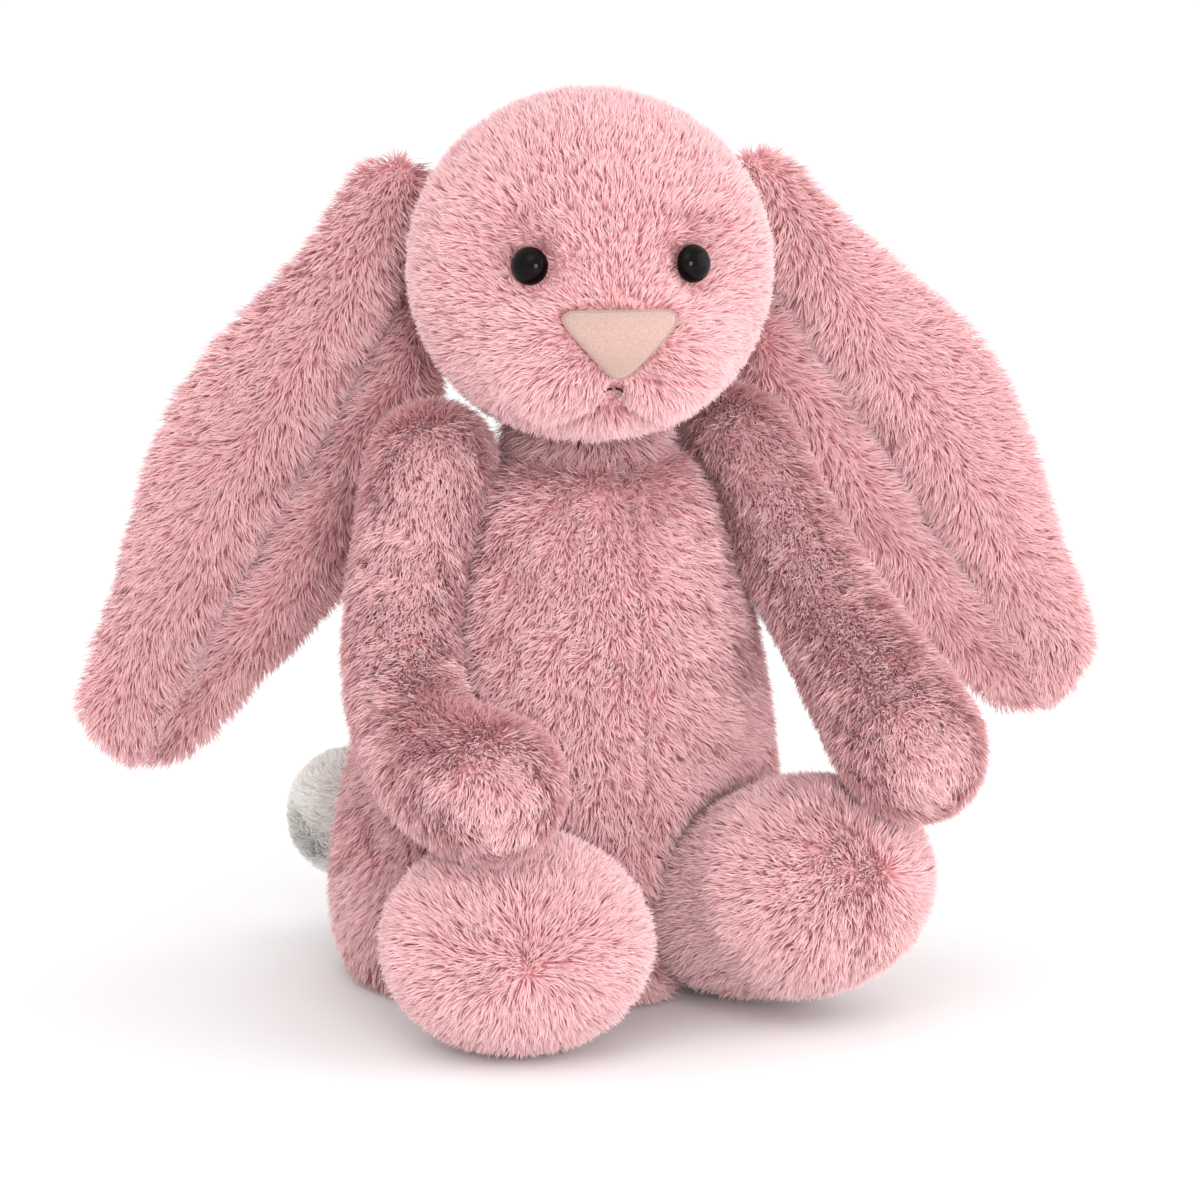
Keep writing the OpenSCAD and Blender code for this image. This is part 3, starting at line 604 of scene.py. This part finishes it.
def ear_scale(side):
    """The pile is cropped in the fold, so the fold stays open."""
    def scale(p):
        root, run, _ = EAR_AXES[side]
        along, _, fold = ear_place(side, p)
        front = p[:, 1] < root[1] + run[1] * along * EAR_SPAN[side]
        return 1 - 0.7 * fold_share(along) * front * gauss(fold, 2.2 * MM)
    return scale


# Axes and length of each ear, by side: 1 for the left and -1 for the right
EAR_AXES, EAR_SPAN = {}, {}


def measure_ear(side):
    """Root, run, inward direction across, and length of an ear, from its joint and its covers."""
    name = "left" if side == 1 else "right"
    root = np.array(JOINTS[f"ear_{name}_lift"]["pos_m"])
    points = arrays(frame["nodes"][f"ear_{name}_front"])[0]
    far = points[np.argmax(((points - root) ** 2).sum(1))]
    run = unit(far - root)
    across = np.array([-side, 0.0, 0.0])
    across = unit(across - (across @ run) * run)
    EAR_AXES[side], EAR_SPAN[side] = (root, run, across), np.linalg.norm(far - root)


measure_ear(1)
measure_ear(-1)
SCULPT = {"head": sculpt_head, "torso": sculpt_torso, "ear_left": sculpt_ear(1), "ear_right": sculpt_ear(-1),
          "arm_left": sculpt_arm("arm_left_raise"), "arm_right": sculpt_arm("arm_right_raise")}


# ---- operators ----------------------------------------------------------------------------------

def pile_of():
    """The scene's settings of the pile."""
    return bpy.context.scene.rabbit_pile


def build_skin(body):
    """A body's skin in place of its covers and filling, kept for the pile to grow from."""
    soft = [node for node in BODIES[body] if not any(word in node for word in HARD_WORDS)]
    backing = FABRIC["white backing" if body == "tail" else "pink backing"]
    obj = solid_skin(f"{body}_skin", soft, backing, pile_of().inset)
    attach(obj, body)
    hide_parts(*soft)
    return obj


def grow(body, flow, seed, **change):
    """Grows a body's pink pile by the settings, apart from what change gives."""
    pile = pile_of()
    how = {"length": pile.length, "width": pile.width, "per_cm2": pile.per_cm2, **change}
    make_pile(body, bpy.data.objects[f"{body}_skin"], FABRIC["pink pile"], "pink_plush", flow, seed, **how)


class RABBIT_OT_skins(bpy.types.Operator):
    """Makes the soft skin of each body"""
    bl_idname = "rabbit.skins"
    bl_label = "Skins"

    def execute(self, context):
        c = context.scene.rabbit_colours
        FABRIC["pink pile"] = pile_material("pink pile", c.root[:], c.middle[:], c.tip[:])
        FABRIC["pink backing"] = new_material("pink backing", 0.95, 0, c.middle[:])[0]
        FABRIC["white backing"] = new_material("tail backing", 0.95, 0, c.tail_tip[:])[0]
        for body in BODIES:
            skin = build_skin(body)
            if body in SCULPT:
                move_skin(skin, SCULPT[body])
            SKINS[body] = arrays(skin)[0]
        return {"FINISHED"}


class RABBIT_OT_torso(bpy.types.Operator):
    """Grows the pile of the torso and the neck"""
    bl_idname = "rabbit.torso"
    bl_label = "Torso pile"

    def execute(self, context):
        grow("torso", torso_flow, 11, scale=torso_scale, lift=(74, 24))
        grow("neck", torso_flow, 12, length=11 * MM, per_cm2=1.8 * pile_of().per_cm2, lift=(88, 40),
             free=True)
        return {"FINISHED"}


class RABBIT_OT_head(bpy.types.Operator):
    """Grows the pile of the head, short near the nose and bare under the nose and the eyes"""
    bl_idname = "rabbit.head"
    bl_label = "Head pile"

    def execute(self, context):
        grow("head", head_flow, 21, scale=head_scale)
        return {"FINISHED"}


class RABBIT_OT_ears(bpy.types.Operator):
    """Grows the pile of the ears"""
    bl_idname = "rabbit.ears"
    bl_label = "Ear pile"

    def execute(self, context):
        for k, side in enumerate(("left", "right")):
            sign = 1 if side == "left" else -1
            grow(f"ear_{side}", ear_flow(sign), 31 + k, length=pile_of().length * 1.1, scale=ear_scale(sign))
        return {"FINISHED"}


class RABBIT_OT_arms(bpy.types.Operator):
    """Grows the pile of the arms"""
    bl_idname = "rabbit.arms"
    bl_label = "Arm pile"

    def execute(self, context):
        for k, side in enumerate(("left", "right")):
            line = limb_line(f"arm_{side}_raise", bpy.data.objects[f"arm_{side}_skin"])
            grow(f"arm_{side}", limb_flow(line, 0.35), 41 + k, per_cm2=1.6 * pile_of().per_cm2, lift=(72, 22))
        return {"FINISHED"}


class RABBIT_OT_legs(bpy.types.Operator):
    """Grows the pile of the legs"""
    bl_idname = "rabbit.legs"
    bl_label = "Leg pile"

    def execute(self, context):
        for k, side in enumerate(("left", "right")):
            line = limb_line(f"leg_{side}_splay", bpy.data.objects[f"leg_{side}_skin"])
            grow(f"leg_{side}", foot_flow(line), 51 + k, per_cm2=1.25 * pile_of().per_cm2, lift=(76, 26))
        return {"FINISHED"}


class RABBIT_OT_tail(bpy.types.Operator):
    """Grows the white pile of the tail"""
    bl_idname = "rabbit.tail"
    bl_label = "Tail pile"

    def execute(self, context):
        c = context.scene.rabbit_colours
        # The white pile's ramp: a little painted shade at the root, painted light at the tip
        mix = tuple((a + b) / 2 for a, b in zip(c.tail_root, c.tail_tip))
        mat = pile_material("white pile", c.tail_root[:], mix, c.tail_tip[:])
        pile = pile_of()
        make_pile("tail", bpy.data.objects["tail_skin"], mat, "white_plush", tail_flow, 61,
                  length=0.55 * pile.length, width=pile.width, per_cm2=1.8 * pile.per_cm2, swirl=1.6,
                  lift=(60, 15))
        return {"FINISHED"}


def nose_reach(turn):
    """Distance of the nose's edge from its middle in millimetres, for each turn about that middle.

    Each of three straight sides, given by its way in degrees and its distance, has an inverse distance in
    every turn. Their power sum, inverted, rounds the corners between them.
    """
    sides = ((90, 6.9), (222, 7.0), (318, 7.0))
    power = 3.6
    total = sum(np.clip(np.cos(turn - math.radians(a)) / d, 1e-6, None) ** power for a, d in sides)
    return total ** (-1 / power)


def face_terms(x, z):
    """The terms of a quadratic surface: one, x, z, x squared, z squared, and x times z."""
    return np.stack([np.ones_like(x), x, z, x * x, z * z, x * z], -1)


def face_plane(skin):
    """The head's skin round the nose as a quadratic surface: depth from places across and up."""
    x, z, out = on_face(arrays(skin)[0])
    near = (np.abs(x) < 15 * MM) & (np.abs(z) < 13 * MM) & (out > -25 * MM)
    fit = np.linalg.lstsq(face_terms(x[near], z[near]), out[near], rcond=None)[0]
    return lambda x, z: face_terms(x, z) @ fit


def on_head(x, z, out):
    """Points from places measured from the nose: to the head's left, up, and out of the face."""
    return NOSE + x[..., None] * HEAD_LEFT + z[..., None] * UP + out[..., None] * HEAD_FRONT


def make_nose(depth, reach, turns, material):
    """A padded suede patch: rings from its middle to its edge, swelling over the pile, closed behind."""
    shares = np.linspace(0.02, 1, 14)
    rings = np.concatenate([shares, [1.0, 0.02]])
    rise = np.concatenate([1.7 * (1 - shares ** 3) ** 0.5 + 0.4, [-0.6, -0.6]]) * MM
    x = rings[:, None] * reach * np.cos(turns)
    z = rings[:, None] * reach * np.sin(turns) - NOSE_DROP
    points = on_head(x, z, depth(x, z) + NOSE_LIFT + rise[:, None]).reshape(-1, 3)
    count = len(turns)
    a, b = ring_grid(len(rings) - 1, count)
    last = (len(rings) - 1) * count
    fan = np.arange(1, count - 1)
    front = np.stack([np.zeros_like(fan), fan, fan + 1], 1)
    back = np.stack([np.zeros_like(fan) + last, last + fan + 1, last + fan], 1)
    faces = np.concatenate([quads(a, a + count, b + count, b), front, back])
    nose = make_object("nose", points, faces, material)
    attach(nose, "head")
    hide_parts("nose_patch")


def make_nose_thread(depth, reach, turns, material, around=8):
    """A round thread carried along the nose's edge, just outside it."""
    x, z = 1.01 * reach * np.cos(turns), 1.01 * reach * np.sin(turns) - NOSE_DROP
    path = on_head(x, z, depth(x, z) + NOSE_LIFT + 0.35 * MM)
    run = unit(np.roll(path, -1, 0) - np.roll(path, 1, 0))
    side = np.cross(run, HEAD_FRONT)
    spin = np.linspace(0, 2 * np.pi, around, endpoint=False)[None, :, None]
    tube = path[:, None] + 0.32 * MM * (side[:, None] * np.cos(spin) + HEAD_FRONT * np.sin(spin))
    a, b = ring_grid(len(turns), around)
    total = len(turns) * around
    faces = quads(a, b, (b + around) % total, (a + around) % total)
    thread = make_object("nose_thread", tube.reshape(-1, 3), faces, material)
    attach(thread, "head")
    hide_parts("nose_edge_stitching")


class RABBIT_OT_face(bpy.types.Operator):
    """Finishes the eyes, the nose and the mouth"""
    bl_idname = "rabbit.face"
    bl_label = "Face"

    def execute(self, context):
        c = context.scene.rabbit_colours
        eye, shader = new_material("eye gloss", 0.03, 0, (0.003, 0.0015, 0.0015))
        shader.inputs["IOR"].default_value = 1.22
        suede = grained_material("suede", 0.9, 0.5, c.nose[:], 0.5 * MM, 0.08 * MM)
        mouth = grained_material("mouth thread", 0.6, 0.1, c.thread[:], 0.3 * MM, 0.05 * MM)
        darker = tuple(v * 0.8 for v in c.nose)
        stitch = grained_material("nose thread", 0.7, 0.2, darker, 0.3 * MM, 0.05 * MM)
        depth = face_plane(bpy.data.objects["head_skin"])
        turns = np.linspace(0, 2 * np.pi, 72, endpoint=False)
        reach = nose_reach(turns) * MM
        make_nose(depth, reach, turns, suede)
        make_nose_thread(depth, reach, turns, stitch)
        finish_nodes(eye, "eye_left", "eye_right")
        finish_nodes(mouth, "mouth_stitch")
        finish_nodes(FABRIC["pink backing"], "neck_thread", "back_closing_stitches")
        return {"FINISHED"}


def pellet_places():
    """Middle and half size of each pellet. Joined points take the lowest number among them until none
    changes, so each pellet's points end with one number of their own."""
    points, triangles = arrays(frame["nodes"]["bean_pellets"])[:2]
    points, where = np.unique(np.round(points, 6), axis=0, return_inverse=True)
    triangles = where.reshape(-1)[triangles]
    number = np.arange(len(points))
    while True:
        lower = number.copy()
        np.minimum.at(lower, triangles.ravel(), np.repeat(number[triangles].min(1), 3))
        lower = lower[lower]
        if np.array_equal(lower, number):
            break
        number = lower
    number = np.unique(number, return_inverse=True)[1].reshape(-1)
    low = np.full((number.max() + 1, 3), np.inf)
    high = -low
    np.minimum.at(low, number, points)
    np.maximum.at(high, number, points)
    return (low + high) / 2, (high - low) / 2


def make_pellets(material, rings=4, around=10):
    """A ball of a few faces for each pellet: rings of points at even angles between two poles."""
    middle, half = pellet_places()
    tilt, turn = np.meshgrid(np.pi * np.arange(1, rings + 1) / (rings + 1),
                             2 * np.pi * np.arange(around) / around, indexing="ij")
    ball = np.stack([np.sin(tilt) * np.cos(turn), np.sin(tilt) * np.sin(turn), np.cos(tilt)], -1)
    ball = np.concatenate([ball.reshape(-1, 3), [[0, 0, 1], [0, 0, -1]]])
    top, bottom, last = rings * around, rings * around + 1, (rings - 1) * around
    a, b = ring_grid(rings - 1, around)
    this = np.arange(around)
    after = (this + 1) % around
    faces = np.concatenate([quads(a, a + around, b + around, b),
                            np.stack([np.full(around, top), this, after], -1),
                            np.stack([np.full(around, bottom), last + after, last + this], -1)])
    points = middle[:, None] + half[:, None] * ball
    faces = faces[None] + len(ball) * np.arange(len(middle))[:, None, None]
    pellets = make_object("pellets", points.reshape(-1, 3), faces.reshape(-1, 3), material)
    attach(pellets, "torso")
    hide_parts("bean_pellets")


class RABBIT_OT_inside(bpy.types.Operator):
    """Makes the pellets and finishes their pouch, the washers and the tail's thread"""
    bl_idname = "rabbit.inside"
    bl_label = "Inside"

    def execute(self, context):
        pellet = grained_material("pellet plastic", 0.5, 0, (0.9, 0.88, 0.8), 2 * MM, 0.02 * MM)
        make_pellets(pellet)
        pouch = grained_material("pouch cloth", 0.9, 0.1, (0.92, 0.92, 0.9), 0.6 * MM, 0.1 * MM)
        finish_nodes(pouch, "bean_pouch")
        washer = grained_material("washer plastic", 0.45, 0, (0.85, 0.85, 0.85), 1.5 * MM, 0.03 * MM)
        finish_nodes(washer, "eye_washer_left", "eye_washer_right")
        finish_nodes(FABRIC["pink backing"], "tail_thread")
        return {"FINISHED"}


def area_light(name, place, aim, size, power):
    """A square lamp at a place, turned to face its aim."""
    data = bpy.data.lights.new(name, "AREA")
    data.energy = power
    data.size = size
    obj = bpy.data.objects.new(name, data)
    bpy.context.collection.objects.link(obj)
    obj.location = place
    obj.rotation_euler = (Vector(aim) - Vector(place)).to_track_quat("-Z", "Y").to_euler()


class RABBIT_OT_stage(bpy.types.Operator):
    """Sets the floor, the light and the camera"""
    bl_idname = "rabbit.stage"
    bl_label = "Stage"

    def execute(self, context):
        pale = new_material("floor", 0.9, 0, (0.97, 0.965, 0.965))[0]
        side = 6.0
        corners = np.array([[-side, -side, 0], [side, -side, 0], [side, side, 0], [-side, side, 0]])
        floor = make_object("floor", corners, np.array([[0, 1, 2], [0, 2, 3]]), pale)
        world = bpy.data.worlds.new("studio")
        context.scene.world = world
        world.use_nodes = True
        world.node_tree.nodes["Background"].inputs["Color"].default_value = (1, 1, 1, 1)
        world.node_tree.nodes["Background"].inputs["Strength"].default_value = 1.05
        aim = (0, 0, 0.1)
        area_light("key", (-0.7, -0.9, 1.3), aim, 0.9, 3)
        area_light("fill", (1.1, -0.7, 0.5), aim, 1.2, 5.5)
        area_light("catch", (-0.22, -1.15, 0.3), aim, 0.35, 4.6)
        # The camera's turn round the rabbit, its angle above the floor and its distance
        turn, tip, away = math.radians(-24), math.radians(10), 1.25
        aim = Vector((0.0052, -0.020, 0.0951))
        data = bpy.data.cameras.new("camera")
        data.lens, data.sensor_width = 156, 36
        obj = bpy.data.objects.new("camera", data)
        context.collection.objects.link(obj)
        obj.location = aim + away * Vector((math.sin(turn) * math.cos(tip), -math.cos(turn) * math.cos(tip),
                                            math.sin(tip)))
        obj.rotation_euler = (aim - obj.location).to_track_quat("-Z", "Y").to_euler()
        context.scene.camera = obj
        context.scene.view_settings.view_transform = "Standard"
        return {"FINISHED"}


STEPS = (RABBIT_OT_skins, RABBIT_OT_torso, RABBIT_OT_head, RABBIT_OT_ears, RABBIT_OT_arms, RABBIT_OT_legs,
         RABBIT_OT_tail, RABBIT_OT_face, RABBIT_OT_inside, RABBIT_OT_stage)


class RABBIT_PT_panel(bpy.types.Panel):
    """Lists the settings and the steps of the rabbit"""
    bl_idname = "RABBIT_PT_panel"
    bl_label = "Plush rabbit"
    bl_space_type = "VIEW_3D"
    bl_region_type = "UI"
    bl_category = "Rabbit"

    def draw(self, context):
        for group in (context.scene.rabbit_pile, context.scene.rabbit_colours):
            for name in group.bl_rna.properties.keys():
                if name not in ("rna_type", "name"):
                    self.layout.prop(group, name)
        for step in STEPS:
            self.layout.operator(step.bl_idname)


CLASSES = (RabbitPile, RabbitColours, *STEPS, RABBIT_PT_panel)


def register():
    for cls in CLASSES:
        bpy.utils.register_class(cls)
    bpy.types.Scene.rabbit_pile = bpy.props.PointerProperty(type=RabbitPile)
    bpy.types.Scene.rabbit_colours = bpy.props.PointerProperty(type=RabbitColours)


def unregister():
    del bpy.types.Scene.rabbit_colours
    del bpy.types.Scene.rabbit_pile
    for cls in reversed(CLASSES):
        bpy.utils.unregister_class(cls)


def main():
    """Runs the steps in order."""
    register()
    for step in STEPS:
        group, name = step.bl_idname.split(".")
        getattr(getattr(bpy.ops, group), name)()


if __name__ == "__main__":
    main()
